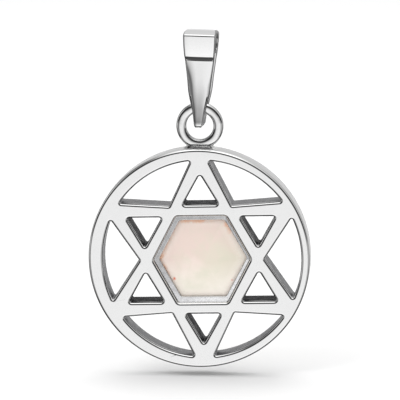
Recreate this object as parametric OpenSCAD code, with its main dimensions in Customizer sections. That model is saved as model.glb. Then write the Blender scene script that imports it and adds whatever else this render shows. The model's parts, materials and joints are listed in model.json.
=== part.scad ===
// Star of David pendant: a pierced silver disc with an opal in its middle, hung from a tapered bail.
// The origin is the middle of the chain passage in the bail. +Z is up, and the pendant's back faces -Y.

/* [Rim] */
// Outer diameter of the disc
rim_d = 19; // [16:0.5:24]
// Width of the plain band round the star
rim_band = 1; // [0.7:0.1:1.4]
// Thickness of the rim, back to front
rim_t = 2.3; // [1.6:0.1:2.5]
// Chamfer on the rim's outer edges
rim_chamfer = 0.15; // [0.05:0.05:0.3]

/* [Star] */
// Thickness of the star, which stands proud of the rim in front
star_t = 2.7; // [2.7:0.1:3.2]
// How far past the disc's edge the star's sides would meet, if the rim didn't trim its points
star_overshoot = 0.7; // [0.4:0.1:1.2]
// Metal between the window's side corners and the notches between the star's arms
star_corner = 1.25; // [1:0.05:1.5]
// Metal between the window's top edge and the hole in the top arm
star_bar = 1; // [0.7:0.05:1.1]
// How far the star sits off the disc's middle, to the right seen from the back
star_shift_x = 0.25; // [-0.3:0.05:0.3]
// How far the star sits above the disc's middle
star_shift_z = -0.06; // [-0.3:0.02:0.3]
// Turn of the star in the rim, anticlockwise as seen from the back
star_turn = 1.5; // [-3:0.5:3]
// Side length of each arm's three-cornered hole
arm_hole_side = 3; // [2.4:0.1:3.2]
// Rounding of the arm holes' corners
arm_hole_round = 0.15; // [0.05:0.05:0.3]

/* [Window] */
// Half width of the six-sided window, across its side corners
window_half_w = 4.15; // [3.9:0.05:4.3]
// Half length of the window's top and bottom edges
window_half_top = 2.13; // [1.95:0.05:2.25]
// Half height of the window
window_half_h = 3.75; // [3.5:0.05:3.95]
// Rounding of the window's corners
window_round = 0.3; // [0.1:0.05:0.5]
// Width of the ledge that holds the stone from behind
ledge_w = 0.42; // [0.3:0.02:0.7]
// Depth of the ledge below the back face
ledge_depth = 0.35; // [0.2:0.05:0.5]
// Thickness of the ledge
ledge_t = 0.3; // [0.2:0.05:0.5]

/* [Stone] */
// Gap between the stone and its seat
stone_gap = 0.03; // [0.02:0.01:0.06]
// How far the stone's table stands above the front of the star
stone_rise = 0.15; // [0:0.05:0.4]
// Width of the bevels round the stone's table and back
stone_bevel = 0.25; // [0.1:0.05:0.4]

/* [Eyelet] */
// Outer diameter of the soldered ring
eyelet_d = 4.05; // [3.9:0.05:4.6]
// Diameter of the ring's wire
eyelet_wire = 0.88; // [0.7:0.02:0.9]
// How deep the ring is sunk into the rim
eyelet_sink = 0.18; // [0.1:0.02:0.4]
// Width of the solder at the rim
solder_w = 2.5; // [1.6:0.1:3]
// Height of the solder above the rim
solder_h = 0.4; // [0.2:0.05:0.6]

/* [Bail] */
// Height of the bail, top to foot
bail_h = 8.4; // [7.5:0.1:10]
// Width of the bail at its top
bail_w = 2.95; // [2.4:0.05:3.2]
// Depth of the loop at the bail's top, back to front
loop_d = 2.8; // [2.6:0.1:3.4]
// Height of the loop's top above the middle of the chain passage
loop_h = 1.2; // [1.1:0.05:1.5]
// Rise of the loop's domed top
loop_dome = 0.2; // [0.1:0.05:0.3]
// Rounding of the loop's upper edges, seen from the side
loop_corner = 0.35; // [0.2:0.05:0.45]
// Rounding under the loop, where it turns in to the leaves
loop_foot_round = 0.8; // [0.5:0.05:1]
// Depth below the middle of the passage at which that rounding starts
loop_drop = 0.55; // [0.4:0.05:0.7]
// Diameter of the chain passage
passage_d = 1.8; // [1.5:0.1:2]
// Thickness of the bail's strip
bail_strip_t = 0.4; // [0.3:0.02:0.5]
// Room between the ring's wire and each of the bail's two leaves
leaf_clearance = 0.24; // [0.18:0.01:0.3]
// Thickness of the foot under the ring's wire
bail_foot_t = 1.1; // [0.8:0.05:1.3]
// Rounding of the bail's top corners, seen from the back
bail_round = 0.3; // [0.1:0.05:0.5]
// Gap between the hanging ring and the foot
link_gap = 0.09; // [0.05:0.01:0.12]

/* [Hidden] */
$fn = 96;
slack = 1; // how far a cut runs past the face it opens

// Widths down the bail: [share of its height below the top, share of its top width]
bail_outline = [
    [0, 1], [0.1, 0.99], [0.22, 0.95], [0.32, 0.89], [0.49, 0.755], [0.59, 0.7], [0.64, 0.665],
    [0.69, 0.6], [0.74, 0.51], [0.8, 0.425], [0.9, 0.33], [1, 0.24]
];

rim_r = rim_d / 2;
band_r = rim_r - rim_band;
star_reach = rim_r - rim_band / 2; // the star's points are trimmed half way across the rim
star_tip_r = rim_r + star_overshoot;
star_notch_r = window_half_w + star_corner;
arm_hole_base = window_half_h + star_bar;
wire_r = eyelet_wire / 2;
eyelet_r = eyelet_d / 2 - wire_r;

loop_half = loop_d / 2;
passage_r = passage_d / 2;
leaf_in = wire_r + leaf_clearance;
leaf_out = leaf_in + bail_strip_t;
foot_z = loop_h - bail_h;
saddle_z = foot_z + bail_foot_t;

// The ring is curved, so it meets the foot at the foot's sides first
foot_half_w = bail_w_at(saddle_z) / 2;
wire_drop = eyelet_r - sqrt(eyelet_r * eyelet_r - foot_half_w * foot_half_w);
hinge_z = saddle_z + link_gap + wire_drop + wire_r; // middle of the wire that rests in the bail
eyelet_z = hinge_z - eyelet_r;
disc_z = eyelet_z - eyelet_d / 2 - rim_r + eyelet_sink;

// The star's thickness straddles the ring's plane, and the stone's front is lighter than the silver
// behind it, so the middle lies a little forward and the pendant hangs upright
balance_y = 0.05;
back_y = balance_y - star_t / 2;
rim_front_y = back_y + rim_t;
star_front_y = back_y + star_t;
ledge_y = back_y + ledge_depth;
seat_y = ledge_y + ledge_t;

function bail_w_at(z) = bail_w * lookup((loop_h - z) / bail_h, bail_outline);

function unit(v) = v / norm(v);

// Points of an arc that rounds the corner at p, between its neighbours a and b
function corner_arc(a, p, b, r, steps = 4) = let (
    u = unit(a - p),
    w = unit(b - p),
    half = acos(u * w) / 2,
    middle = p + unit(u + w) * r / sin(half),
    start = p + u * r / tan(half) - middle,
    turn = (180 - 2 * half) * sign(cross(w, u)),
    first = atan2(start[1], start[0])
) [for (i = [0:steps]) middle + r * [cos(first + turn * i / steps), sin(first + turn * i / steps)]];

function rounded(points, r) = let (n = len(points))
    [for (i = [0:n - 1]) each corner_arc(points[(i + n - 1) % n], points[i], points[(i + 1) % n], r)];

// Six-sided window outline, moved inwards by a set width on every side
function window_points(inset = 0) = let (
    run = window_half_w - window_half_top,
    side = norm([run, window_half_h]),
    h = window_half_h - inset,
    w = window_half_w - inset * side / window_half_h,
    top = w - run * h / window_half_h
) [[w, 0], [top, h], [-top, h], [-w, 0], [-top, -h], [top, -h]];

// Extrudes an outline drawn in X and Z from one depth to another
module plate(y0, y1) {
    translate([0, y1, 0]) rotate([90, 0, 0]) linear_extrude(y1 - y0) children();
}

// A rod that runs front to back
module rod_y(r, y0, y1) {
    translate([0, y1, 0]) rotate([90, 0, 0]) cylinder(r = r, h = y1 - y0);
}

// A rod that runs left to right
module rod_x(r, length) {
    rotate([0, 90, 0]) cylinder(r = r, h = length, center = true);
}

module rim_ring() {
    profile = [
        [0, 0], [rim_r - rim_chamfer, 0], [rim_r, rim_chamfer],
        [rim_r, rim_t - rim_chamfer], [rim_r - rim_chamfer, rim_t], [0, rim_t]
    ];
    difference() {
        translate([0, rim_front_y, 0]) rotate([90, 0, 0]) rotate_extrude() polygon(profile);
        translate([star_shift_x, 0, 0]) rod_y(band_r, back_y - slack, rim_front_y + slack);
    }
}

// Puts what is drawn round the star's own centre at its place in the rim
module on_star() {
    translate([star_shift_x, 0, star_shift_z]) rotate([0, -star_turn, 0]) children();
}

module star_plate() {
    points = [for (i = [0:11]) let (r = i % 2 == 0 ? star_tip_r : star_notch_r)
        r * [cos(90 + 30 * i), sin(90 + 30 * i)]];
    intersection() {
        on_star() plate(back_y, star_front_y) polygon(points);
        rod_y(star_reach, back_y - slack, star_front_y + slack);
    }
}

module arm_holes() {
    top = arm_hole_base + arm_hole_side * sqrt(3) / 2;
    corners = [[-arm_hole_side / 2, arm_hole_base], [arm_hole_side / 2, arm_hole_base], [0, top]];
    for (i = [0:5]) rotate([0, 60 * i, 0])
        plate(back_y - slack, star_front_y + slack) polygon(rounded(corners, arm_hole_round));
}

module window_cut() {
    plate(back_y - slack, ledge_y) polygon(rounded(window_points(), window_round));
    plate(ledge_y - slack, seat_y + slack) polygon(rounded(window_points(ledge_w), window_round));
    plate(seat_y, star_front_y + slack) polygon(rounded(window_points(), window_round));
}

module eyelet() {
    translate([0, 0, eyelet_z]) rotate([90, 0, 0])
        rotate_extrude() translate([eyelet_r, 0]) circle(r = wire_r, $fn = 48);
}

module solder() {
    half = solder_w / 2;
    edge_z = sqrt(rim_r * rim_r - half * half) - rim_r; // the rim falls away from its top
    crown = half - solder_h;
    points = [
        [-half, edge_z - rim_chamfer], [half, edge_z - rim_chamfer], [half, edge_z + solder_h / 4],
        [crown, solder_h], [-crown, solder_h], [-half, edge_z + solder_h / 4]
    ];
    translate([0, 0, disc_z + rim_r]) plate(-wire_r, wire_r) polygon(points);
}

module pendant_frame() {
    color("silver") union() {
        translate([0, 0, disc_z]) {
            rim_ring();
            difference() {
                star_plate();
                on_star() {
                    arm_holes();
                    window_cut();
                }
            }
        }
        eyelet();
        solder();
    }
}

module stone() {
    back = seat_y + stone_gap;
    front = star_front_y + stone_rise;
    full = rounded(window_points(stone_gap), window_round);
    table = rounded(window_points(stone_gap + stone_bevel), window_round);
    color("mistyrose") translate([0, 0, disc_z]) on_star() hull() {
        plate(back, front) polygon(table);
        plate(back + stone_bevel, front - stone_bevel) polygon(full);
    }
}

module bail_outline_plate() {
    right = [for (row = bail_outline) [bail_w * row[1] / 2, loop_h - bail_h * row[0]]];
    left = [for (i = [len(right) - 1:-1:0]) [-right[i][0], right[i][1]]];
    all = concat(right, left);
    last = len(all) - 1;
    points = [for (i = [0:last]) each (i == 0 || i == last)
        ? corner_arc(all[(i + last) % (last + 1)], all[i], all[(i + 1) % (last + 1)], bail_round)
        : [all[i]]];
    plate(-loop_d, loop_d) polygon(points);
}

// A bar that runs left to right, from one height to another
module bar_x(half_d, z0, z1) {
    translate([-bail_w / 2, -half_d, z0]) cube([bail_w, 2 * half_d, z1 - z0]);
}

// The loop from outside: a box with rounded edges, a domed top and a well rounded underside
module loop_side() {
    top_half = loop_half - loop_corner;
    foot_half = loop_half - loop_foot_round;
    edge_z = loop_h - loop_dome; // where the dome starts
    dome_r = (top_half * top_half + loop_dome * loop_dome) / (2 * loop_dome);
    bar_x(loop_half, -loop_drop, edge_z - loop_corner);
    bar_x(top_half, -loop_drop, edge_z);
    bar_x(foot_half, -loop_drop - loop_foot_round, -loop_drop);
    for (side = [-1, 1]) {
        translate([0, side * top_half, edge_z - loop_corner]) rod_x(loop_corner, bail_w);
        translate([0, side * foot_half, -loop_drop]) rod_x(loop_foot_round, bail_w);
    }
    intersection() {
        translate([0, 0, loop_h - dome_r]) rod_x(dome_r, bail_w);
        bar_x(top_half, edge_z - loop_corner, loop_h + slack);
    }
}

module bail_side() {
    leaf_low = foot_z + leaf_out;
    slot_low = saddle_z + leaf_in;
    difference() {
        union() {
            loop_side();
            bar_x(leaf_out, leaf_low, -loop_drop);
            translate([0, 0, leaf_low]) rod_x(leaf_out, bail_w);
        }
        rod_x(passage_r, bail_w + 2 * slack);
        translate([-bail_w / 2 - slack, -leaf_in, slot_low])
            cube([bail_w + 2 * slack, 2 * leaf_in, -slot_low]);
        translate([0, 0, slot_low]) rod_x(leaf_in, bail_w + 2 * slack);
    }
}

module bail() {
    color("silver") intersection() {
        bail_side();
        bail_outline_plate();
    }
}

pendant_frame();
stone();
bail();
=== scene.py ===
import json
import math

import bmesh
import bpy
from mathutils import Matrix, Vector, noise


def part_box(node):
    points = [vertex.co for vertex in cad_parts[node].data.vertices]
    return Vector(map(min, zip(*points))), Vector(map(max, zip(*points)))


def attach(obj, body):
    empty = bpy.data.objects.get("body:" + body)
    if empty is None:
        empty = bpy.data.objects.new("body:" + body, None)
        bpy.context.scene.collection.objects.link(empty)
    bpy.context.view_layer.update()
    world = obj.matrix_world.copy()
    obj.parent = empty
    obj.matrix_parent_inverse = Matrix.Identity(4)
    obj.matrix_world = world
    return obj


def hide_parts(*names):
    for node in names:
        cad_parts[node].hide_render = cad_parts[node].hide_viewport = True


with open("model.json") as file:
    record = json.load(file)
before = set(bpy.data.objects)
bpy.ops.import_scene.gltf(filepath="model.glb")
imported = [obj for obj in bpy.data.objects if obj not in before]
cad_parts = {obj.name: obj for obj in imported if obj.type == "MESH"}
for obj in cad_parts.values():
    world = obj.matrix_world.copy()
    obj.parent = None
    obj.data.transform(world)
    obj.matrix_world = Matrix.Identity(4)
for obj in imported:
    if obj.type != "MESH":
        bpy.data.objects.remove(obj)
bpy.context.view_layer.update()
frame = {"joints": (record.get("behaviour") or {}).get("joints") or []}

MM = 0.001


# Sizes of the solids in millimetres, the same as in the part's source
RIM_BAND = 1.0
RIM_T = 2.3
STAR_NOTCH_R = 5.4
STAR_OVERSHOOT = 0.7
STAR_SHIFT = (0.25, -0.06)
STAR_TURN = 1.5
HOLE_BASE = 4.75
HOLE_SIDE = 3.0
HOLE_ROUND = 0.15
WINDOW_HALF_W = 4.15
WINDOW_HALF_TOP = 2.13
WINDOW_HALF_H = 3.75
WINDOW_ROUND = 0.3
LEDGE_W = 0.42
LEDGE_DEPTH = 0.35
LEDGE_T = 0.3
STONE_BEVEL = 0.25
EYELET_R = 1.585
WIRE_R = 0.44
LEAF_IN = 0.68
LEAF_OUT = 1.08
FOOT_T = 1.1
PASSAGE_R = 0.9
# Widths down the bail: (share of its height below the top, share of its top width)
BAIL_OUTLINE = ((0, 1), (0.1, 0.99), (0.22, 0.95), (0.32, 0.89), (0.49, 0.755), (0.59, 0.7), (0.64, 0.665),
                (0.69, 0.6), (0.74, 0.51), (0.8, 0.425), (0.9, 0.33), (1, 0.24))

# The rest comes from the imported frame
frame_low, frame_high = (Vector(corner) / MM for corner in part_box("pendant_frame"))
stone_low, stone_high = (Vector(corner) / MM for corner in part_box("stone"))
bail_low, bail_high = (Vector(corner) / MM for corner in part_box("bail"))
hinge_z = frame["joints"][0]["pos_m"][2] / MM

RIM_R = (frame_high.x - frame_low.x) / 2
DISC_Z = frame_low.z + RIM_R
BACK_Y = frame_low.y
STAR_FRONT_Y = frame_high.y
RIM_FRONT_Y = BACK_Y + RIM_T
EYELET_Z = hinge_z - EYELET_R
STAR_Z = DISC_Z + STAR_SHIFT[1]
STAR_X = STAR_SHIFT[0]

# Rounding and hand work that only the dressed pieces have, in millimetres and degrees
LENS_ROUND = 0.1
BACK_EDGE = 0.25
FRONT_EDGE = 0.15
LEDGE_EDGE = 0.06
# The ledge was cut by hand: its opening is a little wider than drawn, and up and to the right
OPENING_WIDER = 1.025
OPENING_SHIFT = (0.07, 0.07)
# The ring's wire is filed flatter front to back, and a power below 1 makes it squarer than round
WIRE_FLAT_Y = 0.4
WIRE_SQUARE = 0.72
# The solder's half width at the rim and at its top, how fast it flares between them, and how square it is
SOLDER_REACH = (1.6, 1.05)
SOLDER_FLARE = 2.5
SOLDER_SQUARE = (0.45, 0.6)
SOLDER_H = 0.42
SOLDER_HALF_Y = 0.36
SOLDER_BELLY = 0.1
SOLDER_SINK = 0.06
SOLDER_LUMP = 0.05
LUMPS_PER_MM = 3.0
LUMPS_START = (3.1, 0.4, 1.7)
# The loose bail hangs a little askew in the photograph: turned and rolled, with its front seen narrower
BAIL_TURN = 3.5
BAIL_ROLL = 0.9
BAIL_NARROWER = 0.95
OUTLINE_SMOOTH = 0.06
CREASE_IN = 0.52
LOOP_DOME_R = 2.75
LOOP_LOWER = 0.02
LOOP_ROUND = 0.22
FOOT_ROUND = 0.2
BAIL_EDGE = 0.13
# The front of each leaf is crowned: a share of its width, from a height on down, and over what run it grows
LEAF_CROWN = 0.09
LEAF_CROWN_Z = -0.6
LEAF_CROWN_RUN = 3.0

# How finely the shapes are divided
DISC_STEPS = 256
BAND_STEPS = 56
CORNER_STEPS = 8
WIRE_STEPS = 48
RING_STEPS = 160
SOLDER_STEPS = 10
SOLDER_ROUND = 48
LEAF_STEPS = 28
LEAF_COLUMNS = 14

# How far a cut runs past the face it opens, and a star's notch past the lens that trims it
THROUGH = 1.0
HAIR = 0.03
# How close counts as level, as the same corner, and as on a wall
LEVEL = 1e-3
SAME_CORNER = 2e-3
ON_WALL = 0.05
# How much of a face's normal points front or back on a flat, and at least on a rounded edge
FLAT_FACING = 0.999
EDGE_FACING = 0.02
# How much of it points sideways on the strip's cut sides
SIDE_FACING = 0.4


# Mesh helpers, all in millimetres until a piece is finished

def begin(points, round_to=0.0, steps=6):
    """One face in the plane of the disc, its corners rounded to a radius."""
    bm = bmesh.new()
    face = bm.faces.new([bm.verts.new((x, 0.0, z)) for x, z in points])
    if round_to:
        turn = math.pi * (1 - 2 / len(points)) / 2
        bmesh.ops.bevel(bm, geom=bm.verts[:], affect="VERTICES", offset=round_to / math.tan(turn),
                        segments=steps, profile=0.5, material=-1)
    bm.normal_update()
    return bm


def pull(bm, y0, y1):
    """Extrudes a flat outline into a plate from y0 to y1."""
    bmesh.ops.translate(bm, verts=bm.verts[:], vec=(0, y0, 0))
    grown = bmesh.ops.extrude_face_region(bm, geom=bm.faces[:])["geom"]
    verts = [g for g in grown if isinstance(g, bmesh.types.BMVert)]
    bmesh.ops.translate(bm, verts=verts, vec=(0, y1 - y0, 0))
    bmesh.ops.recalc_face_normals(bm, faces=bm.faces[:])
    return bm


def shift(bm, x=0.0, y=0.0, z=0.0):
    bmesh.ops.translate(bm, verts=bm.verts[:], vec=(x, y, z))
    return bm


def on_star(bm):
    """Moves what is drawn round the star's own centre to its place in the rim."""
    bmesh.ops.rotate(bm, verts=bm.verts[:], matrix=Matrix.Rotation(-math.radians(STAR_TURN), 3, "Y"))
    return shift(bm, x=STAR_X, z=STAR_Z)


def right_through(bm):
    """Pulls an outline into a cutter that runs past both faces of the disc."""
    return pull(bm, BACK_Y - THROUGH, STAR_FRONT_Y + THROUGH)


def round_face(radius):
    """A round face in the plane of the disc."""
    bm = bmesh.new()
    bmesh.ops.create_circle(bm, cap_ends=True, radius=radius, segments=DISC_STEPS)
    bmesh.ops.rotate(bm, verts=bm.verts[:], matrix=Matrix.Rotation(math.pi / 2, 3, "X"))
    return bm


def finish_mesh(name, bm):
    """Turns a bmesh into an object of the scene."""
    mesh = bpy.data.meshes.new(name)
    bm.to_mesh(mesh)
    bm.free()
    obj = bpy.data.objects.new(name, mesh)
    bpy.context.scene.collection.objects.link(obj)
    return obj


def settle(obj):
    """Applies an object's modifiers to its mesh."""
    depsgraph = bpy.context.evaluated_depsgraph_get()
    mesh = bpy.data.meshes.new_from_object(obj.evaluated_get(depsgraph), depsgraph=depsgraph)
    obj.modifiers.clear()
    obj.data = mesh
    return obj


def combine(target, bm, operation):
    """Joins a second shape to the target or cuts it away."""
    tool = finish_mesh("tool", bm)
    modifier = target.modifiers.new("combine", "BOOLEAN")
    modifier.operation = operation
    modifier.solver = "EXACT"
    modifier.object = tool
    settle(target)
    bpy.data.objects.remove(tool)
    return target


def soften(bm, wanted, width, segments=3):
    """Rounds the sharp edges that a test picks."""
    edges = [e for e in bm.edges if len(e.link_faces) == 2
             and e.calc_face_angle(0.0) > math.radians(30) and wanted(e)]
    bmesh.ops.bevel(bm, geom=edges, affect="EDGES", offset=width, offset_type="OFFSET",
                    segments=segments, profile=0.5, clamp_overlap=False, material=-1)


def at_level(y):
    """A test for edges that lie at one depth."""
    return lambda e: all(abs(v.co.y - y) < LEVEL for v in e.verts)


def along_y(e):
    """Whether an edge runs straight from front to back."""
    a, b = (v.co for v in e.verts)
    return abs(a.x - b.x) < LEVEL and abs(a.z - b.z) < LEVEL


# Pieces

def window_outline(inset=0.0):
    """The six corners of the window round the star's centre, drawn in by an even inset."""
    run = WINDOW_HALF_W - WINDOW_HALF_TOP
    side = math.hypot(run, WINDOW_HALF_H)
    h = WINDOW_HALF_H - inset
    w = WINDOW_HALF_W - inset * side / WINDOW_HALF_H
    top = w - run * h / WINDOW_HALF_H
    return [(w, 0), (top, h), (-top, h), (-w, 0), (-top, -h), (top, -h)]


def star_points(spare=0.0):
    """The star's twelve corners round its own centre."""
    radii = [RIM_R + STAR_OVERSHOOT if i % 2 == 0 else STAR_NOTCH_R + spare for i in range(12)]
    return [(r * math.sin(i * math.pi / 6), r * math.cos(i * math.pi / 6)) for i, r in enumerate(radii)]


def lens_outline(arm):
    """A hole between two arms and the band: three rounded corners, each turned round its own centre."""
    points = [Vector(p) for p in star_points()]
    notch = points[(2 * arm + 1) % 12]
    band_centre = Vector((0, DISC_Z - STAR_Z))
    band_r = RIM_R - RIM_BAND
    sides = []
    for tip in (points[(2 * arm) % 12], points[(2 * arm + 2) % 12]):
        along = (tip - notch).normalized()
        outward = Vector((-along.y, along.x))
        outward *= math.copysign(1, outward.dot(notch))
        start = notch + outward * LENS_ROUND - band_centre
        b = start.dot(along)
        reach = -b + math.sqrt(b * b - start.length_squared + (band_r - LENS_ROUND) ** 2)
        sides.append((along, outward, start + band_centre + along * reach))
    (along_a, out_a, corner_a), (along_b, out_b, corner_b) = sides
    half_angle = along_a.angle(along_b) / 2
    notch_corner = notch + (along_a + along_b).normalized() * LENS_ROUND / math.sin(half_angle)
    to_a, to_b = ((c - band_centre).normalized() for c in (corner_a, corner_b))
    return [(notch_corner, LENS_ROUND, -out_b, -out_a, CORNER_STEPS),
            (corner_a, LENS_ROUND, -out_a, to_a, CORNER_STEPS),
            (band_centre, band_r, to_a, to_b, BAND_STEPS),
            (corner_b, LENS_ROUND, to_b, -out_b, CORNER_STEPS)]


def turned(arcs):
    """One face whose outline is a chain of arcs: (centre, radius, from, to, steps)."""
    bm = bmesh.new()
    last = first = None
    for centre, radius, start, end, steps in arcs:
        vert = bm.verts.new((centre.x + start.x * radius, 0, centre.y + start.y * radius))
        if last:
            bm.edges.new((last, vert))
        first = first or vert
        angle = math.atan2(start.y, start.x) - math.atan2(end.y, end.x)
        angle = (angle + math.pi) % math.tau - math.pi
        swept = bmesh.ops.spin(bm, geom=[vert], cent=(centre.x, 0, centre.y), axis=(0, 1, 0), angle=angle,
                               steps=steps, use_merge=False, use_duplicate=False)
        last = next(g for g in swept["geom_last"] if isinstance(g, bmesh.types.BMVert))
    bm.edges.new((last, first))
    bmesh.ops.remove_doubles(bm, verts=bm.verts[:], dist=1e-4)
    bmesh.ops.contextual_create(bm, geom=bm.edges[:])
    return bm


def make_frame():
    """The pierced disc: a round plate with the star proud in front, then its holes and the window."""
    plate = shift(pull(round_face(RIM_R), BACK_Y, RIM_FRONT_Y), z=DISC_Z)
    piece = finish_mesh("pendant_silver", plate)
    star = pull(begin(star_points(2 * HAIR)), RIM_FRONT_Y - RIM_T / 4, STAR_FRONT_Y)
    star = finish_mesh("star", on_star(star))
    combine(star, shift(right_through(round_face(RIM_R - RIM_BAND / 2)), z=DISC_Z), "INTERSECT")
    proud = bmesh.new()
    proud.from_mesh(star.data)
    bpy.data.objects.remove(star)
    combine(piece, proud, "UNION")

    tip = HOLE_BASE + HOLE_SIDE * math.sqrt(3) / 2
    corners = [(-HOLE_SIDE / 2, HOLE_BASE), (0, tip), (HOLE_SIDE / 2, HOLE_BASE)]
    for i in range(6):
        combine(piece, on_star(right_through(turned(lens_outline(i)))), "DIFFERENCE")
        hole = right_through(begin(corners, HOLE_ROUND))
        bmesh.ops.rotate(hole, verts=hole.verts[:], matrix=Matrix.Rotation(i * math.pi / 3, 3, "Y"))
        combine(piece, on_star(hole), "DIFFERENCE")
    ledge_y = BACK_Y + LEDGE_DEPTH
    seat_y = ledge_y + LEDGE_T
    for inset, y0, y1 in ((0, BACK_Y - THROUGH, ledge_y),
                          (LEDGE_W, ledge_y - LEDGE_DEPTH / 2, seat_y + LEDGE_T),
                          (0, seat_y, STAR_FRONT_Y + THROUGH)):
        recess = pull(begin(window_outline(inset), WINDOW_ROUND, CORNER_STEPS), y0, y1)
        if inset:
            bmesh.ops.scale(recess, verts=recess.verts[:], vec=(OPENING_WIDER, 1, 1))
            shift(recess, x=OPENING_SHIFT[0], z=OPENING_SHIFT[1])
        combine(piece, on_star(recess), "DIFFERENCE")

    bm = bmesh.new()
    bm.from_mesh(piece.data)
    bmesh.ops.remove_doubles(bm, verts=bm.verts[:], dist=SAME_CORNER)
    bmesh.ops.dissolve_degenerate(bm, dist=LEVEL, edges=bm.edges[:])
    # The star's front stays in the parts that the cuts left, because one face can't hold so many holes
    behind = [e for e in bm.edges if not at_level(STAR_FRONT_Y)(e)]
    bmesh.ops.dissolve_limit(bm, angle_limit=math.radians(0.3), verts=bm.verts[:], edges=behind)
    bmesh.ops.recalc_face_normals(bm, faces=bm.faces[:])
    soften(bm, at_level(BACK_Y), BACK_EDGE, 4)
    soften(bm, at_level(STAR_FRONT_Y), FRONT_EDGE, 4)
    soften(bm, at_level(RIM_FRONT_Y), FRONT_EDGE, 4)
    soften(bm, at_level(ledge_y), LEDGE_EDGE, 2)
    bm.to_mesh(piece.data)
    bm.free()
    return piece


def make_eyelet():
    """The soldered ring: wire filed a little flat on its two faces, spun into a circle."""
    bm = bmesh.new()
    bmesh.ops.create_circle(bm, radius=WIRE_R, segments=WIRE_STEPS)
    for v in bm.verts:
        # X is across the ring's wire and Y is front to back
        v.co.x = math.copysign(WIRE_R * (abs(v.co.x) / WIRE_R) ** WIRE_SQUARE, v.co.x)
        v.co.y = math.copysign(WIRE_FLAT_Y * (abs(v.co.y) / WIRE_R) ** WIRE_SQUARE, v.co.y)
    shift(bm, x=EYELET_R)
    bmesh.ops.spin(bm, geom=bm.verts[:] + bm.edges[:], cent=(0, 0, 0), axis=(0, 1, 0),
                   angle=math.tau, steps=RING_STEPS, use_merge=True, use_duplicate=False)
    bmesh.ops.recalc_face_normals(bm, faces=bm.faces[:])
    return finish_mesh("soldered_ring", shift(bm, z=EYELET_Z))


def make_solder():
    """The solder's fillets: a low saddle that flares from the ring's foot onto the rim."""
    bm = bmesh.new()
    bottom, top = SOLDER_REACH
    square_x, square_y = SOLDER_SQUARE
    rows = []
    for i in range(SOLDER_STEPS + 1):
        t = i / SOLDER_STEPS
        half_w = top + (bottom - top) * (1 - t) ** SOLDER_FLARE
        z = SOLDER_H * t
        half_y = SOLDER_HALF_Y + SOLDER_BELLY * math.sqrt(1 - t * t)
        outline = []
        for k in range(SOLDER_ROUND):
            a = math.tau * k / SOLDER_ROUND
            x = half_w * math.copysign(abs(math.cos(a)) ** square_x, math.cos(a))
            y = half_y * math.copysign(abs(math.sin(a)) ** square_y, math.sin(a))
            sag = math.sqrt(max(RIM_R ** 2 - x * x, 0)) - RIM_R
            outline.append(bm.verts.new((x, y, sag * (1 - t) + z)))
        rows.append(outline)
    for a, b in zip(rows, rows[1:]):
        for k in range(SOLDER_ROUND):
            m = (k + 1) % SOLDER_ROUND
            bm.faces.new((a[k], a[m], b[m], b[k]))
    for end in (rows[0], rows[-1]):
        bm.faces.new(end)
    bmesh.ops.recalc_face_normals(bm, faces=bm.faces[:])
    for v in bm.verts:
        lump = noise.noise(v.co * LUMPS_PER_MM + Vector(LUMPS_START))
        v.co += Vector((v.co.x, v.co.y * 2, 0)).normalized() * SOLDER_LUMP * lump
    return finish_mesh("solder", shift(bm, z=DISC_Z + RIM_R - SOLDER_SINK))


def make_stone():
    """The opal slab with bevelled rims. Its value edge runs from 1 at the outline to 0 in the middle."""
    gap = stone_low.y - (BACK_Y + LEDGE_DEPTH + LEDGE_T)
    bm = pull(begin(window_outline(gap), WINDOW_ROUND, CORNER_STEPS), stone_low.y, stone_high.y)
    rims = [e for e in bm.edges if e.calc_face_angle(0.0) > math.radians(60) and not along_y(e)]
    bmesh.ops.bevel(bm, geom=rims, affect="EDGES", offset=STONE_BEVEL, segments=3, profile=0.5, material=-1)
    layer = bm.verts.layers.float.new("edge")
    for v in bm.verts:
        v[layer] = 1.0
    flats = [f for f in bm.faces if abs(f.normal.y) > FLAT_FACING]
    for v in bmesh.ops.poke(bm, faces=flats)["verts"]:
        v[layer] = 0.0
    return finish_mesh("opal", on_star(bm))


def share_of_width(share):
    """The outline's width at a share of the height, straight between its rows."""
    share = min(max(share, 0), 1)
    (a, wa), (b, wb) = next(pair for pair in zip(BAIL_OUTLINE, BAIL_OUTLINE[1:]) if share <= pair[1][0])
    return wa + (wb - wa) * (share - a) / (b - a)


def bail_width(z):
    """The outline's width at a height, its kinks smoothed by taking the mean of nearby heights."""
    share = (bail_high.z - z) / (bail_high.z - bail_low.z)
    near = [share + OUTLINE_SMOOTH * k / 4 for k in range(-4, 5)]
    above = min(max(z - bail_high.z + LOOP_ROUND, 0), LOOP_ROUND)
    below = min(max(bail_low.z + FOOT_ROUND - z, 0), FOOT_ROUND)
    corner = (LOOP_ROUND - math.sqrt(LOOP_ROUND ** 2 - above ** 2)
              + FOOT_ROUND - math.sqrt(FOOT_ROUND ** 2 - below ** 2))
    full = BAIL_NARROWER * (bail_high.x - bail_low.x)
    return full * sum(share_of_width(n) for n in near) / len(near) - 2 * corner


def walk(point, arcs):
    """Follows arcs end to end in a side view: (radius, from, to, steps), a hollow one with a minus.

    Gives (y, z, normal y, normal z). Angles are degrees up from the direction that the leaf faces.
    """
    y, z = point
    path = []
    for radius, start, end, steps in arcs:
        a = math.radians(start)
        centre = y - radius * math.cos(a), z - radius * math.sin(a)
        for i in range(1, steps + 1):
            a = math.radians(start + (end - start) * i / steps)
            y, z = centre[0] + radius * math.cos(a), centre[1] + radius * math.sin(a)
            path.append((y, z, math.cos(a), math.sin(a)))
    return path


# The outside of the bail from the middle of its domed top down to the leaf
LOOP_ARCS = ((LOOP_DOME_R, 90, 63.3, 8), (0.2, 63.3, -1, 10), (7.1, -1, -15, 12), (0.2, -15, -24, 4),
             (1.6, -24, -40, 8), (-0.05, -40, 0, 4))
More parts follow.
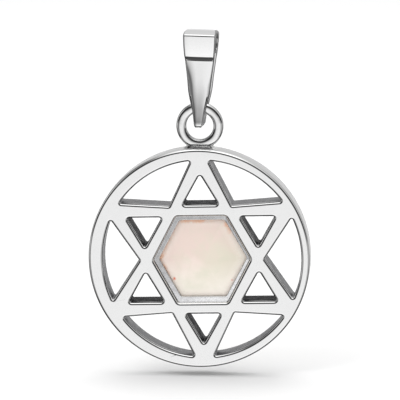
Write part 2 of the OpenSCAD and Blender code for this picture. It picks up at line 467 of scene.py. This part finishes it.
# The end of a leaf, turning under the foot
FOOT_ARCS = ((0.3, 0, -20, 5), (0.38, -20, -80, 8), (1.6, -80, -86, 3))


def leaf_run(start, end, steps):
    """From the loop down to the foot, swelling outwards a little towards the ring."""
    (y0, z0), (y1, z1) = start, end
    run = []
    for i in range(1, steps + 1):
        t = i / steps
        tilt = 3 * (y1 - y0) * t * t / (z0 - z1)
        run.append((y0 + (y1 - y0) * t ** 3, z0 + (z1 - z0) * t, 1.0, tilt))
    return run


def mirrored(half):
    """Closes a half side view: the mirror image first, bottom to top, then the half itself."""
    return [(-y, z, -ny, nz) for y, z, ny, nz in reversed(half)] + half


def outer_path():
    """The side view of the bail's outside, round the loop and both leaves."""
    half = walk((0, bail_high.z - LOOP_LOWER), LOOP_ARCS)
    leaf_end = bail_low.z + sum(r * (math.sin(math.radians(a)) - math.sin(math.radians(b)))
                                for r, a, b, _ in FOOT_ARCS)
    half += leaf_run(half[-1][:2], (LEAF_OUT, leaf_end), LEAF_STEPS)
    half += walk((LEAF_OUT, leaf_end), FOOT_ARCS)
    return mirrored(half)


def inner_path():
    """The side view of its inside: the round passage, the slot between the leaves and the foot's saddle."""
    crease = math.degrees(math.acos(CREASE_IN / PASSAGE_R))
    half = walk((0, PASSAGE_R), ((PASSAGE_R, 90, -crease, 18),))
    saddle_centre = bail_low.z + FOOT_T + LEAF_IN
    half += leaf_run(half[-1][:2], (LEAF_IN, saddle_centre), LEAF_STEPS)
    half += walk((LEAF_IN, saddle_centre), ((LEAF_IN, 0, -84, 12),))
    return mirrored(half)


def bail_band(bm, path, crown):
    """A closed band across the bail that follows a path, crowned across the leaves."""
    rows = []
    for y, z, ny, nz in path:
        w = bail_width(z)
        bow = crown * w * min(max((LEAF_CROWN_Z - z) / LEAF_CROWN_RUN, 0.1), 1)
        row = []
        for c in range(LEAF_COLUMNS + 1):
            t = 2 * c / LEAF_COLUMNS - 1
            lift = -bow * abs(t) ** 3
            row.append(bm.verts.new((w / 2 * t, y + ny * lift, z + nz * lift)))
        rows.append(row)
    for a, b in zip(rows, rows[1:] + rows[:1]):
        for c in range(LEAF_COLUMNS):
            bm.faces.new((a[c], a[c + 1], b[c + 1], b[c]))
    return rows


def make_bail():
    """The folded strip with its loop, slot and foot, then turned askew about the ring's wire."""
    bm = bmesh.new()
    outer = bail_band(bm, outer_path(), LEAF_CROWN)
    inner = bail_band(bm, inner_path(), 0.0)
    for side in (0, -1):
        edges = []
        for rows in (outer, inner):
            ends = [row[side] for row in rows]
            edges += [bm.edges.get((a, b)) for a, b in zip(ends, ends[1:] + ends[:1])]
        bmesh.ops.bridge_loops(bm, edges=edges)
    bmesh.ops.recalc_face_normals(bm, faces=bm.faces[:])
    sides = [e for e in bm.edges if e.calc_face_angle(0.0) > math.radians(50)]
    bmesh.ops.bevel(bm, geom=sides, affect="EDGES", offset=BAIL_EDGE, segments=5, profile=0.5, material=-1)
    roll = Matrix.Rotation(math.radians(BAIL_ROLL), 3, "Y")
    turn = Matrix.Rotation(-math.radians(BAIL_TURN), 3, "Z")
    bmesh.ops.rotate(bm, verts=bm.verts[:], cent=(0, 0, hinge_z), matrix=roll @ turn)
    return finish_mesh("bail_silver", bm)


# Where each finish goes

# The disc's finishes in the order of its material slots, and the bail's
# The sawn walls, the small holes' walls and the ledge's face take silver painted darker than it is: painted
# shade
FLATS, EDGES, SHADED_SAWN_WALLS, SHADED_SMALL_HOLES, LEDGE_FACE, RIM_WALL = range(6)
POLISHED, SHADED_FILED_SIDE = range(2)


def finish_of_disc(centre, normal):
    """The finish of a face of the disc, from where it lies and how it is turned."""
    if abs(normal.y) > FLAT_FACING:
        return LEDGE_FACE if abs(centre.y - BACK_Y - LEDGE_DEPTH) < LEVEL else FLATS
    if abs(normal.y) > EDGE_FACING:
        return EDGES
    if math.hypot(centre.x, centre.z - DISC_Z) > RIM_R - ON_WALL:
        return RIM_WALL
    from_star = math.hypot(centre.x - STAR_X, centre.z - STAR_Z)
    bearing = math.atan2(centre.x - STAR_X, centre.z - STAR_Z) + math.radians(STAR_TURN)
    off_arm = abs((bearing + math.pi / 6) % (math.pi / 3) - math.pi / 6)
    inside_arm = from_star * math.sin(off_arm) < HOLE_SIDE / 2 + LEVEL and from_star > HOLE_BASE - LEVEL
    in_hole = from_star * math.cos(off_arm) < HOLE_BASE + HOLE_SIDE * math.sqrt(3) / 2
    return SHADED_SMALL_HOLES if inside_arm and in_hole else SHADED_SAWN_WALLS


def finish_of_bail(centre, normal):
    """The strip's cut sides and the passage are filed and painted a darker grey, painted shade for the
    sides and the inside of the loop; the rest is polished.
    """
    in_passage = math.hypot(centre.y, centre.z) < PASSAGE_R + ON_WALL
    return SHADED_FILED_SIDE if abs(normal.x) > SIDE_FACING or in_passage else POLISHED


def dress(obj, *materials):
    for mat in materials:
        obj.data.materials.append(mat)


def finish_faces(obj, finish_of, *materials):
    """Gives each face the material that its finish names, with flat faces that shade flat."""
    dress(obj, *materials)
    for face in obj.data.polygons:
        face.material_index = finish_of(face.center, face.normal)
    weighted = obj.modifiers.new("flat_faces", "WEIGHTED_NORMAL")
    weighted.keep_sharp = True


# Materials

def new_material(name):
    """A material, its node tree and its shader."""
    mat = bpy.data.materials.new(name)
    mat.use_nodes = True
    return mat, mat.node_tree, mat.node_tree.nodes["Principled BSDF"]


def wire_up(tree, node, **inputs):
    """Sets a node's inputs by name, from a value or from another node's output."""
    for name, value in inputs.items():
        socket = node.inputs[name.replace("_", " ")]
        if isinstance(value, bpy.types.NodeSocket):
            tree.links.new(value, socket)
        else:
            socket.default_value = value
    return node


def add(tree, kind, **inputs):
    """A new shader node with its inputs set."""
    return wire_up(tree, tree.nodes.new("ShaderNode" + kind), **inputs)


def maths(tree, operation, a, b=None):
    """The result of one sum on values or other nodes' outputs."""
    node = tree.nodes.new("ShaderNodeMath")
    node.operation = operation
    for socket, value in zip(node.inputs, (a, b)):
        if isinstance(value, (int, float)):
            socket.default_value = value
        elif value is not None:
            tree.links.new(value, socket)
    return node.outputs["Value"]


def spread(tree, source, low, high, to_low=0.0, to_high=1.0):
    """Maps a value from low..high onto another span, and holds it there."""
    node = add(tree, "MapRange", Value=source)
    for name, value in (("From Min", low), ("From Max", high), ("To Min", to_low), ("To Max", to_high)):
        node.inputs[name].default_value = value
    return node.outputs["Result"]


def blend_colours(tree, factor, a, b, how="MIX"):
    """Blends colour a towards colour b."""
    node = tree.nodes.new("ShaderNodeMix")
    node.data_type = "RGBA"
    node.blend_type = how
    for socket, value in ((node.inputs["Factor"], factor), (node.inputs[6], a), (node.inputs[7], b)):
        if isinstance(value, bpy.types.NodeSocket):
            tree.links.new(value, socket)
        else:
            socket.default_value = value if isinstance(value, float) else (*value, 1)
    return node.outputs[2]


def piece_coords(tree):
    """Object coordinates in millimetres."""
    coords = tree.nodes.new("ShaderNodeTexCoord")
    scale = tree.nodes.new("ShaderNodeVectorMath")
    scale.operation = "SCALE"
    scale.inputs["Scale"].default_value = 1 / MM
    tree.links.new(coords.outputs["Object"], scale.inputs[0])
    return scale.outputs["Vector"]


# How many grains, ripples and duller patches there are to a millimetre
GRAINS = 9.0
RIPPLES = 0.9
PATCHES = 2.3


def polish_group():
    """How silver is finished: fine grain, a slow ripple left by the polishing wheel, and duller patches."""
    tree = bpy.data.node_groups.new("polish", "ShaderNodeTree")
    for name, value in (("Grain", 0.0), ("Ripple", 0.0), ("Polish", 0.1), ("Dull", 0.2)):
        tree.interface.new_socket(name, in_out="INPUT", socket_type="NodeSocketFloat").default_value = value
    tree.interface.new_socket("Roughness", in_out="OUTPUT", socket_type="NodeSocketFloat")
    tree.interface.new_socket("Shade", in_out="OUTPUT", socket_type="NodeSocketFloat")
    tree.interface.new_socket("Normal", in_out="OUTPUT", socket_type="NodeSocketVector")
    given = tree.nodes.new("NodeGroupInput")
    result = tree.nodes.new("NodeGroupOutput")
    place_in = piece_coords(tree)
    grain = add(tree, "TexNoise", Vector=place_in, Scale=GRAINS, Detail=4.0, Roughness=0.65).outputs["Fac"]
    ripple = add(tree, "TexNoise", Vector=place_in, Scale=RIPPLES, Detail=1.0).outputs["Fac"]
    patches = add(tree, "TexNoise", Vector=place_in, Scale=PATCHES, Detail=3.0).outputs["Fac"]
    height = maths(tree, "ADD", maths(tree, "MULTIPLY", grain, given.outputs["Grain"]),
                   maths(tree, "MULTIPLY", ripple, given.outputs["Ripple"]))
    bump = add(tree, "Bump", Height=height, Distance=MM)
    level = spread(tree, patches, 0.35, 0.65)
    gain = maths(tree, "SUBTRACT", given.outputs["Dull"], given.outputs["Polish"])
    rough = maths(tree, "ADD", maths(tree, "MULTIPLY", level, gain), given.outputs["Polish"])
    shade = spread(tree, grain, 0.3, 0.7)
    tree.links.new(rough, result.inputs["Roughness"])
    tree.links.new(shade, result.inputs["Shade"])
    tree.links.new(bump.outputs["Normal"], result.inputs["Normal"])
    return tree


POLISH = polish_group()
# How far to the upper left and lower right of the window's middle the ledge's painted shade goes on
# changing
PAINTED_SHADE_SPAN = (-3.0, 3.0)


def silver(name, dark, light, grain, ripple, polish, dull, edge_on=1.0, painted_shade=None):
    """Silver whose colour wanders between two greys. Walls painted dark as painted shade stay dark seen
    edge-on too.

    Given a painted shade, the colour is scaled from one gain at the window's upper left to another at its
    lower right, darker where the ledge lies in the shade of its edge.
    """
    mat, tree, shader = new_material(name)
    finish = tree.nodes.new("ShaderNodeGroup")
    finish.node_tree = POLISH
    wire_up(tree, finish, Grain=grain, Ripple=ripple, Polish=polish, Dull=dull)
    shader.inputs["Metallic"].default_value = 1.0
    shader.inputs["Specular Tint"].default_value = (edge_on, edge_on, edge_on, 1)
    wire_up(tree, shader, Roughness=finish.outputs["Roughness"], Normal=finish.outputs["Normal"])
    colour = blend_colours(tree, finish.outputs["Shade"], dark, light)
    if painted_shade:
        split = add(tree, "SeparateXYZ", Vector=piece_coords(tree))
        down_right = maths(tree, "SUBTRACT", split.outputs["X"], split.outputs["Z"])
        down_right = maths(tree, "SUBTRACT", down_right, STAR_X - STAR_Z)
        colour = blend_colours(tree, 1.0, colour, spread(tree, down_right, *PAINTED_SHADE_SPAN, *painted_shade), "MULTIPLY")
    tree.links.new(colour, shader.inputs["Base Color"])
    return mat


OPAL_PINK = (0.834, 0.685, 0.617)
OPAL_CREAM = (0.78, 0.72, 0.60)
OPAL_PALE = (0.97, 0.91, 0.82)
OPAL_GREEN = (0.70, 0.71, 0.55)
OPAL_GLINT = (0.95, 0.50, 0.30)
# Painted light: the paler colour laid along the rim, which lightens the shade that the ledge casts there
OPAL_PAINTED_RIM_LIGHT = (1.0, 0.88, 0.80)
OPAL_FLECK = (0.80, 0.16, 0.07)
OPAL_CRAZE = (0.90, 0.88, 0.78)
# Flecks of fire in the opal: place across and up from the star's middle, radius and strength
FLECKS = ((-2.4, -1.8, 0.17, 0.9), (2.55, -1.85, 0.1, 0.5))
# How many clouds, veils, broken glints, specks and cracks there are to a millimetre
CLOUDS = 0.45
VEILS = 0.8
BREAKS = 1.1
SPECKS = 2.4
CRACKS = 3.2
# How much pinker the opal gets for each millimetre up, and less pink for each to the right
PINK_UP = 0.20
PINK_ACROSS = 0.17
# From where to where a colour comes in: pink on the slope, pale at the foot, green in the veils
PINK_SPAN = (0.35, 1.15)
PALE_SPAN = (1.6, 4.6)
GREEN_SPAN = (0.5, 0.75)
# The same as shares of the way out from the middle: the painted light along the rim, the crazing and the
# glints
PAINTED_RIM_LIGHT_SPAN = (0.78, 1.0)
CRAZE_SPAN = (0.78, 0.93)
GLINT_SPAN = (0.91, 0.99)
# Glints show near the top edge and at the left tip, in millimetres from the middle, and crazing down right
TOP_SPAN = (1.6, 3.0)
TIP_SPAN = (-2.4, -3.4)
CRAZE_LEAN = (-1.0, 3.0)


def opal_body(tree, place_in, up, across):
    """Pink above, cream below and paler at the foot, with faint green veils."""
    cloud = add(tree, "TexNoise", Vector=place_in, Scale=CLOUDS, Detail=3.0, Distortion=0.6).outputs["Fac"]
    slope = maths(tree, "SUBTRACT", maths(tree, "MULTIPLY", up, PINK_UP),
                  maths(tree, "MULTIPLY", across, PINK_ACROSS))
    pink = maths(tree, "ADD", slope, maths(tree, "MULTIPLY", cloud, 1.6))
    colour = blend_colours(tree, spread(tree, pink, *PINK_SPAN), OPAL_CREAM, OPAL_PINK)
    low = maths(tree, "SUBTRACT", maths(tree, "MULTIPLY", cloud, 3.0), up)
    colour = blend_colours(tree, spread(tree, low, *PALE_SPAN), colour, OPAL_PALE)
    veil = add(tree, "TexNoise", Vector=place_in, Scale=VEILS, Detail=2.0).outputs["Fac"]
    return blend_colours(tree, spread(tree, veil, *GREEN_SPAN, 0.0, 0.35), colour, OPAL_GREEN)


def opal_glints(tree, place_in, up, across, rim, specks, colour):
    """Broken glints along the upper rim and at the left tip, where light runs inside the slab."""
    broken = add(tree, "TexNoise", Vector=place_in, Scale=BREAKS, Detail=2.0).outputs["Fac"]
    lit = maths(tree, "MAXIMUM", spread(tree, up, *TOP_SPAN), spread(tree, across, *TIP_SPAN))
    lit = maths(tree, "MULTIPLY", lit, spread(tree, broken, 0.42, 0.58, 0.2, 1.0))
    rough_edge = maths(tree, "MULTIPLY", maths(tree, "SUBTRACT", specks, 0.5), 0.25)
    ragged_rim = maths(tree, "ADD", rim, rough_edge)
    glint = maths(tree, "MULTIPLY", spread(tree, ragged_rim, *GLINT_SPAN), lit)
    return blend_colours(tree, maths(tree, "MULTIPLY", glint, 0.75), colour, OPAL_GLINT)


def opal_crazing(tree, place_in, up, across, rim, colour):
    """Fine pale cracks near the rim, more of them to the lower right."""
    cracks = add(tree, "TexVoronoi", Vector=place_in, Scale=CRACKS)
    cracks.feature = "DISTANCE_TO_EDGE"
    lines = spread(tree, cracks.outputs["Distance"], 0.0, 0.08, 1.0, 0.0)
    down_right = spread(tree, maths(tree, "SUBTRACT", across, up), *CRAZE_LEAN, 0.25, 1.0)
    where = maths(tree, "MULTIPLY", spread(tree, rim, *CRAZE_SPAN), down_right)
    craze = maths(tree, "MULTIPLY", lines, where)
    return blend_colours(tree, maths(tree, "MULTIPLY", craze, 0.6), colour, OPAL_CRAZE)


def opal_fleck(tree, up, across, specks, colour, fleck):
    """One ragged fleck of fire."""
    x, z, radius, strength = fleck
    across_2 = maths(tree, "POWER", maths(tree, "SUBTRACT", across, x), 2)
    up_2 = maths(tree, "POWER", maths(tree, "SUBTRACT", up, z), 2)
    away = maths(tree, "POWER", maths(tree, "ADD", across_2, up_2), 0.5)
    ragged = maths(tree, "ADD", away, maths(tree, "MULTIPLY", specks, radius))
    shown = spread(tree, ragged, radius * 1.6, radius * 0.7, 0.0, strength)
    return blend_colours(tree, shown, colour, OPAL_FLECK)


def opal_material():
    """Milky opal: pink above and cream below, painted light along the rim, warm glints round it, flecks and
    faint crazing.
    """
    mat, tree, shader = new_material("white_opal")
    place_in = piece_coords(tree)
    split = add(tree, "SeparateXYZ", Vector=place_in)
    across = maths(tree, "SUBTRACT", split.outputs["X"], STAR_X)
    up = maths(tree, "SUBTRACT", split.outputs["Z"], STAR_Z)
    colour = opal_body(tree, place_in, up, across)
    edge = tree.nodes.new("ShaderNodeAttribute")
    edge.attribute_name = "edge"
    # The ledge hides the outermost part, so the value is read from where the slab comes into view
    in_view = (WINDOW_HALF_H - STONE_BEVEL) / (WINDOW_HALF_H - LEDGE_W)
    rim = maths(tree, "MULTIPLY", edge.outputs["Fac"], in_view)
    specks = add(tree, "TexNoise", Vector=place_in, Scale=SPECKS, Detail=5.0, Roughness=0.7).outputs["Fac"]
    # Painted light: the rim is painted paler, lightening the shade that the ledge casts on the slab's edge
    colour = blend_colours(tree, spread(tree, rim, *PAINTED_RIM_LIGHT_SPAN, 0.0, 0.6), colour, OPAL_PAINTED_RIM_LIGHT)
    colour = opal_glints(tree, place_in, up, across, rim, specks, colour)
    colour = opal_crazing(tree, place_in, up, across, rim, colour)
    for fleck in FLECKS:
        colour = opal_fleck(tree, up, across, specks, colour, fleck)
    tree.links.new(colour, shader.inputs["Base Color"])
    bump = add(tree, "Bump", Height=specks, Distance=2e-6)
    gloss = spread(tree, specks, 0.3, 0.7, 0.12, 0.25)
    wire_up(tree, shader, Roughness=gloss, Normal=bump.outputs["Normal"])
    return mat


# Assembly
# Assembly

def place(obj, body, slot, *nodes):
    """Brings a piece to metres, hangs it on the body it rides on and hides the parts that it replaces. Its
    slot is not used.
    """
    obj.data.transform(Matrix.Scale(MM, 4))
    obj.data.shade_smooth()
    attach(obj, body)
    if nodes:
        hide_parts(*nodes)
    return obj


# Each silver: its darker and lighter grey, how deep its grain and ripple are in millimetres, its roughness
# where polished and where dull, and how bright it stays seen edge-on
SATIN = silver("satin_silver", (0.91, 0.91, 0.91), (0.94, 0.94, 0.94),
               grain=0.0001, ripple=0.003, polish=0.07, dull=0.12)
BRIGHT = silver("bright_silver", (0.91, 0.91, 0.91), (0.95, 0.95, 0.95),
                grain=0.00005, ripple=0.003, polish=0.03, dull=0.07)
# The sawn walls are painted dark grey over a rougher sawn finish: painted shade for the hollows of the
# holes
SHADED_SAWN = silver("shaded_sawn_silver", (0.24, 0.24, 0.25), (0.48, 0.48, 0.49),
              grain=0.01, ripple=0.02, polish=0.2, dull=0.38, edge_on=0.6)
# The walls of the small holes are painted nearly black: painted shade for the narrow holes, which see
# little light
SHADED_PIERCED = silver("shaded_pierced_silver", (0.025, 0.025, 0.025), (0.26, 0.26, 0.27),
                 grain=0.02, ripple=0.03, polish=0.15, dull=0.4, edge_on=0.3)
# The ledge is painted a darker grey, and darker still to the upper left: painted shade where the window's
# edge shades it
LEDGE = silver("shaded_ledge_silver", (0.56, 0.56, 0.57), (0.76, 0.76, 0.77),
               grain=0.001, ripple=0.006, polish=0.15, dull=0.3, painted_shade=(0.8, 1.4))
CAST = silver("cast_silver", (0.86, 0.86, 0.86), (0.94, 0.94, 0.94),
              grain=0.0004, ripple=0.03, polish=0.04, dull=0.1)
SOLDERED = silver("soldered_silver", (0.85, 0.85, 0.85), (0.97, 0.97, 0.97),
                  grain=0.03, ripple=0.1, polish=0.06, dull=0.25)
# Filed silver painted a darker grey: painted shade on the bail's cut sides and in its passage
SHADED_FILED = silver("shaded_filed_silver", (0.6, 0.6, 0.6), (0.67, 0.67, 0.67),
               grain=0.001, ripple=0.0, polish=0.26, dull=0.34, edge_on=0.62)
TURNED = silver("turned_silver", (0.88, 0.88, 0.88), (0.93, 0.93, 0.93),
                grain=0.0001, ripple=0.003, polish=0.06, dull=0.12, edge_on=0.78)


disc = make_frame()
finish_faces(disc, finish_of_disc, SATIN, BRIGHT, SHADED_SAWN, SHADED_PIERCED, LEDGE, TURNED)
place(disc, "pendant", "silver", "pendant_frame")

ring = make_eyelet()
dress(ring, CAST)
place(ring, "pendant", "silver")
solder = make_solder()
dress(solder, SOLDERED)
place(solder, "pendant", "silver")

stone = make_stone()
dress(stone, opal_material())
place(stone, "pendant", "opal", "stone")

bail = make_bail()
finish_faces(bail, finish_of_bail, BRIGHT, SHADED_FILED)
place(bail, "bail", "bail_silver", "bail")


# Stage, light and camera

# Half the floor's width, and how far below the disc it lies, in millimetres
FLOOR_HALF = 3000
FLOOR_BELOW = 0.8


def make_stage():
    """A plain pale floor, which reflections don't see."""
    bm = bmesh.new()
    bmesh.ops.create_grid(bm, x_segments=1, y_segments=1, size=FLOOR_HALF)
    shift(bm, z=frame_low.z - FLOOR_BELOW)
    floor = finish_mesh("floor", bm)
    floor.data.transform(Matrix.Scale(MM, 4))
    mat, tree, shader = new_material("white_paper")
    shader.inputs["Base Color"].default_value = (0.92, 0.92, 0.92, 1)
    shader.inputs["Roughness"].default_value = 0.9
    dress(floor, mat)
    floor.visible_glossy = False


# Degrees to the pendant's right and above it
CAMERA_ANGLES = (4.5, 10.0)


def camera_back():
    """The direction from the pendant to the camera."""
    azimuth, elevation = (math.radians(a) for a in CAMERA_ANGLES)
    level = math.cos(elevation)
    return Vector((math.sin(azimuth) * level, -math.cos(azimuth) * level, math.sin(elevation)))


def ramp_node(tree, stops, source):
    """A ramp over stops of (position, brightness)."""
    node = tree.nodes.new("ShaderNodeValToRGB")
    band = node.color_ramp
    band.elements[1].position = 1
    for position, _ in stops[1:-1]:
        band.elements.new(position)
    for element, (position, value) in zip(band.elements, stops):
        element.position = position
        element.color = (value, value, value, 1)
    tree.links.new(source, node.inputs["Fac"])
    return node.outputs["Color"]


# What the silver sees: degrees up from the front's horizon, over the top and down behind, then brightness
TENT = ((-180, 0.85), (-150, 0.85), (-125, 0.3), (-105, 0.12), (-56, 0.05), (-49, 1.04), (-34, 1.04),
        (-7.5, 0.9), (-4.5, 0.68), (-1, 0.47), (3.5, 0.4), (7, 0.05), (47, 0.05), (57, 1.35), (108, 1.35),
        (120, 0.72), (150, 0.68), (172, 0.8), (180, 0.85))
# The same from left to right, -1 to 1
SIDES = ((-1.0, 0.6), (-0.86, 0.45), (-0.74, 0.2), (-0.56, 0.15), (-0.42, 0.6), (-0.24, 0.97), (0.0, 1.0),
         (0.3, 1.0), (0.48, 0.6), (0.75, 0.42), (1.0, 0.5))
# How strongly the white surround lights the floor and the pendant's diffuse parts
SURROUND = 0.75


def make_world():
    """White for the floor; for reflections, a white tent with dark gaps and a hole round the lens."""
    world = bpy.data.worlds.new("tent")
    bpy.context.scene.world = world
    world.use_nodes = True
    tree = world.node_tree
    white = tree.nodes["Background"]
    white.inputs["Color"].default_value = (1, 1, 1, 1)
    white.inputs["Strength"].default_value = SURROUND
    coords = tree.nodes.new("ShaderNodeTexCoord").outputs["Generated"]
    split = tree.nodes.new("ShaderNodeSeparateXYZ")
    tree.links.new(coords, split.inputs["Vector"])
    x, y, z = (split.outputs[a] for a in "XYZ")
    bearing = maths(tree, "ARCTAN2", z, maths(tree, "MULTIPLY", y, -1))
    degrees = maths(tree, "MULTIPLY", bearing, 180 / math.pi)
    height = ramp_node(tree, [((a + 180) / 360, v) for a, v in TENT], spread(tree, degrees, -180, 180))
    sides = ramp_node(tree, [((a + 1) / 2, v) for a, v in SIDES], spread(tree, x, -1, 1))
    tent = maths(tree, "MULTIPLY", height, sides)
    shown = tree.nodes.new("ShaderNodeBackground")
    tree.links.new(tent, shown.inputs["Color"])
    mix = tree.nodes.new("ShaderNodeMixShader")
    tree.links.new(tree.nodes.new("ShaderNodeLightPath").outputs["Is Glossy Ray"], mix.inputs["Fac"])
    tree.links.new(white.outputs["Background"], mix.inputs[1])
    tree.links.new(shown.outputs["Background"], mix.inputs[2])
    tree.links.new(mix.outputs["Shader"], tree.nodes["World Output"].inputs["Surface"])


def make_light(name, place_at, aim, size, power):
    """A soft square light, which reflections don't see because the tent stands for it there."""
    data = bpy.data.lights.new(name, "AREA")
    data.shape = "SQUARE"
    data.size = size
    data.energy = power
    light = bpy.data.objects.new(name, data)
    light.location = place_at
    light.rotation_euler = (Vector(aim) - Vector(place_at)).to_track_quat("-Z", "Y").to_euler()
    light.visible_glossy = False
    bpy.context.scene.collection.objects.link(light)


# How far off the camera stands in metres, its picture's width, and the height it looks at in millimetres
CAMERA_RANGE = 0.3
PICTURE_PX = 400
PX_PER_MM = 11.69
LOOK_AT_Z = -13.51


def make_camera():
    """The camera at the photograph's angle."""
    data = bpy.data.cameras.new("camera")
    data.lens = data.sensor_width * CAMERA_RANGE / (PICTURE_PX / PX_PER_MM * MM)
    camera = bpy.data.objects.new("camera", data)
    back = camera_back()
    camera.location = Vector((0, 0, LOOK_AT_Z * MM)) + back * CAMERA_RANGE
    camera.rotation_euler = (-back).to_track_quat("-Z", "Y").to_euler()
    data.clip_start = 0.01
    data.clip_end = 20
    bpy.context.scene.collection.objects.link(camera)
    bpy.context.scene.camera = camera


make_stage()
make_world()
centre = (0, 0, DISC_Z * MM)
make_light("key", (-0.25, -0.3, 0.4), centre, size=0.25, power=0.7)
make_light("fill", (0.35, -0.3, 0.3), centre, size=0.3, power=0.3)
make_light("top", (0, 0.1, 0.5), centre, size=0.4, power=1.1)
make_camera()
bpy.context.scene.view_settings.view_transform = "Standard"
